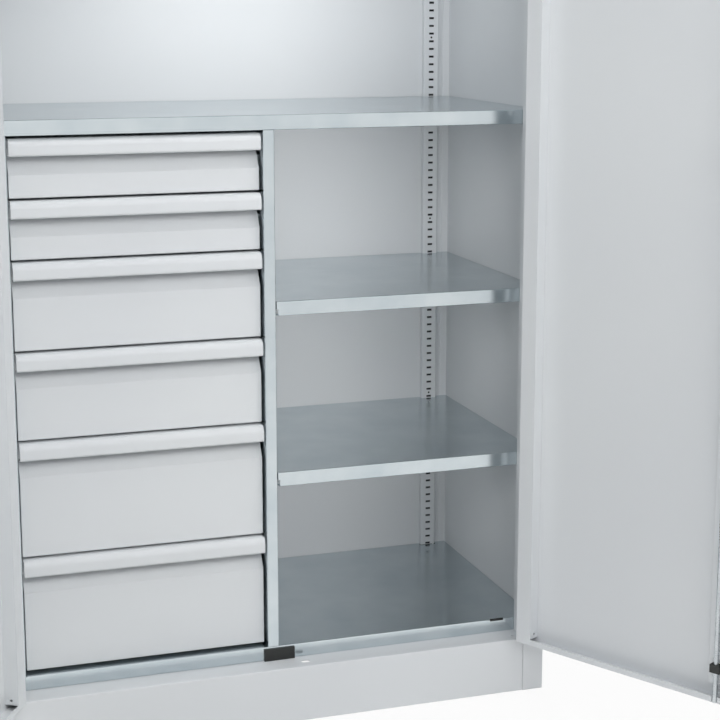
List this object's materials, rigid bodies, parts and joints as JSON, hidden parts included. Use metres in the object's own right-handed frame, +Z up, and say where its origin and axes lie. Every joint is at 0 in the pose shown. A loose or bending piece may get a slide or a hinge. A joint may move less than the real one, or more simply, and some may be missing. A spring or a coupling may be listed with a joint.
{
  "type": "heavy-duty storage cabinet",
  "caption": "Tall steel cabinet with two hinged doors, a stack of drawers on telescopic runners, adjustable shelves and a rod lock.",
  "frame": {"origin": "on the floor, at the centre of the four floor-anchor holes, under the centre of the closed body", "axes": "+X to the right across the front, +Y from the front to the back, +Z up"},
  "size_m": [1.3752, 0.9288, 1.95],
  "materials": {
    "grey_paint": "light grey powder coat, satin",
    "zinc_sheet": "zinc-plated cold-rolled sheet, glossy",
    "bright_zinc": "bright zinc plating",
    "black_plastic": "moulded, fine texture",
    "chrome": "polished"
  },
  "bodies": {
    "cabinet": {"side_panel_left": "grey_paint", "side_panel_right": "grey_paint", "back_panel": "grey_paint", "top_panel": "grey_paint", "plinth": "grey_paint", "base_rails": "grey_paint", "foot_plates": "grey_paint", "floor_shelf": "zinc_sheet", "mid_shelf": "zinc_sheet", "partition": "zinc_sheet", "shelf_right_lower": "zinc_sheet", "shelf_right_upper": "zinc_sheet", "shelf_top_lower": "zinc_sheet", "shelf_top_upper": "zinc_sheet", "rear_uprights": "grey_paint", "shelf_clips": "bright_zinc", "drawer_wall": "zinc_sheet", "runner_fixed_rails": "bright_zinc", "door_buffer": "black_plastic", "frame_hinge_leaves": "grey_paint", "hinge_pins": "bright_zinc"},
    "right_door": {"right_door_panel": "grey_paint", "right_door_channel": "grey_paint", "right_hinge_leaves": "grey_paint", "lock_plate": "bright_zinc", "handle_plate": "black_plastic", "rod_guides": "black_plastic"},
    "handle": {"door_handle": "black_plastic", "lock_cam": "bright_zinc"},
    "cylinder": {"lock_cylinder": "chrome"},
    "upper_rod": {"lock_rod_upper": "bright_zinc"},
    "lower_rod": {"lock_rod_lower": "bright_zinc"},
    "left_door": {"left_door_panel": "grey_paint", "left_door_channel": "grey_paint", "left_hinge_leaves": "grey_paint", "left_door_strip": "grey_paint"},
    "drawer_1": {"drawer_1_front": "grey_paint", "drawer_1_tray": "grey_paint", "drawer_1_rails": "bright_zinc"},
    "runner_1": {"runner_1_middle": "bright_zinc"},
    "drawer_2": {"drawer_2_front": "grey_paint", "drawer_2_tray": "grey_paint", "drawer_2_rails": "bright_zinc"},
    "runner_2": {"runner_2_middle": "bright_zinc"},
    "drawer_3": {"drawer_3_front": "grey_paint", "drawer_3_tray": "grey_paint", "drawer_3_rails": "bright_zinc"},
    "runner_3": {"runner_3_middle": "bright_zinc"},
    "drawer_4": {"drawer_4_front": "grey_paint", "drawer_4_tray": "grey_paint", "drawer_4_rails": "bright_zinc"},
    "runner_4": {"runner_4_middle": "bright_zinc"},
    "drawer_5": {"drawer_5_front": "grey_paint", "drawer_5_tray": "grey_paint", "drawer_5_rails": "bright_zinc"},
    "runner_5": {"runner_5_middle": "bright_zinc"},
    "drawer_6": {"drawer_6_front": "grey_paint", "drawer_6_tray": "grey_paint", "drawer_6_rails": "bright_zinc"},
    "runner_6": {"runner_6_middle": "bright_zinc"}
  },
  "joints": [
    {"name": "right_door_swing", "type": "hinge", "parent": "cabinet", "child": "right_door", "pos_m": [0.46, -0.2543, 1], "axis": [0, 0, 1], "range_deg": [-120, 0]},
    {"name": "left_door_swing", "type": "hinge", "parent": "cabinet", "child": "left_door", "pos_m": [-0.46, -0.2543, 1], "axis": [0, 0, -1], "range_deg": [-120, 0]},
    {"name": "handle_turn", "type": "hinge", "parent": "right_door", "child": "handle", "pos_m": [0.65928, -0.60806, 1.02], "axis": [-0.866, -0.5, 0], "range_deg": [0, 90]},
    {"name": "cylinder_turn", "type": "hinge", "parent": "right_door", "child": "cylinder", "pos_m": [0.65928, -0.60806, 1.066], "axis": [-0.866, -0.5, 0], "range_deg": [0, 90]},
    {"name": "upper_rod_slide", "type": "slide", "parent": "right_door", "child": "upper_rod", "axis": [0, 0, 1], "range_m": [0, 0.02]},
    {"name": "lower_rod_slide", "type": "slide", "parent": "right_door", "child": "lower_rod", "axis": [0, 0, -1], "range_m": [0, 0.02]},
    {"name": "drawer_1_slide", "type": "slide", "parent": "cabinet", "child": "drawer_1", "axis": [0, -1, 0], "range_m": [0, 0.4]},
    {"name": "runner_1_slide", "type": "slide", "parent": "cabinet", "child": "runner_1", "axis": [0, -1, 0], "range_m": [0, 0.2]},
    {"name": "drawer_2_slide", "type": "slide", "parent": "cabinet", "child": "drawer_2", "axis": [0, -1, 0], "range_m": [0, 0.4]},
    {"name": "runner_2_slide", "type": "slide", "parent": "cabinet", "child": "runner_2", "axis": [0, -1, 0], "range_m": [0, 0.2]},
    {"name": "drawer_3_slide", "type": "slide", "parent": "cabinet", "child": "drawer_3", "axis": [0, -1, 0], "range_m": [0, 0.4]},
    {"name": "runner_3_slide", "type": "slide", "parent": "cabinet", "child": "runner_3", "axis": [0, -1, 0], "range_m": [0, 0.2]},
    {"name": "drawer_4_slide", "type": "slide", "parent": "cabinet", "child": "drawer_4", "axis": [0, -1, 0], "range_m": [0, 0.4]},
    {"name": "runner_4_slide", "type": "slide", "parent": "cabinet", "child": "runner_4", "axis": [0, -1, 0], "range_m": [0, 0.2]},
    {"name": "drawer_5_slide", "type": "slide", "parent": "cabinet", "child": "drawer_5", "axis": [0, -1, 0], "range_m": [0, 0.4]},
    {"name": "runner_5_slide", "type": "slide", "parent": "cabinet", "child": "runner_5", "axis": [0, -1, 0], "range_m": [0, 0.2]},
    {"name": "drawer_6_slide", "type": "slide", "parent": "cabinet", "child": "drawer_6", "axis": [0, -1, 0], "range_m": [0, 0.4]},
    {"name": "runner_6_slide", "type": "slide", "parent": "cabinet", "child": "runner_6", "axis": [0, -1, 0], "range_m": [0, 0.2]}
  ],
  "couplings": [
    {"joint": "handle_turn", "follows": "upper_rod_slide", "rad_per_m": 78.54},
    {"joint": "lower_rod_slide", "follows": "upper_rod_slide", "ratio": 1},
    {"joint": "runner_1_slide", "follows": "drawer_1_slide", "ratio": 0.5},
    {"joint": "runner_2_slide", "follows": "drawer_2_slide", "ratio": 0.5},
    {"joint": "runner_3_slide", "follows": "drawer_3_slide", "ratio": 0.5},
    {"joint": "runner_4_slide", "follows": "drawer_4_slide", "ratio": 0.5},
    {"joint": "runner_5_slide", "follows": "drawer_5_slide", "ratio": 0.5},
    {"joint": "runner_6_slide", "follows": "drawer_6_slide", "ratio": 0.5}
  ]
}
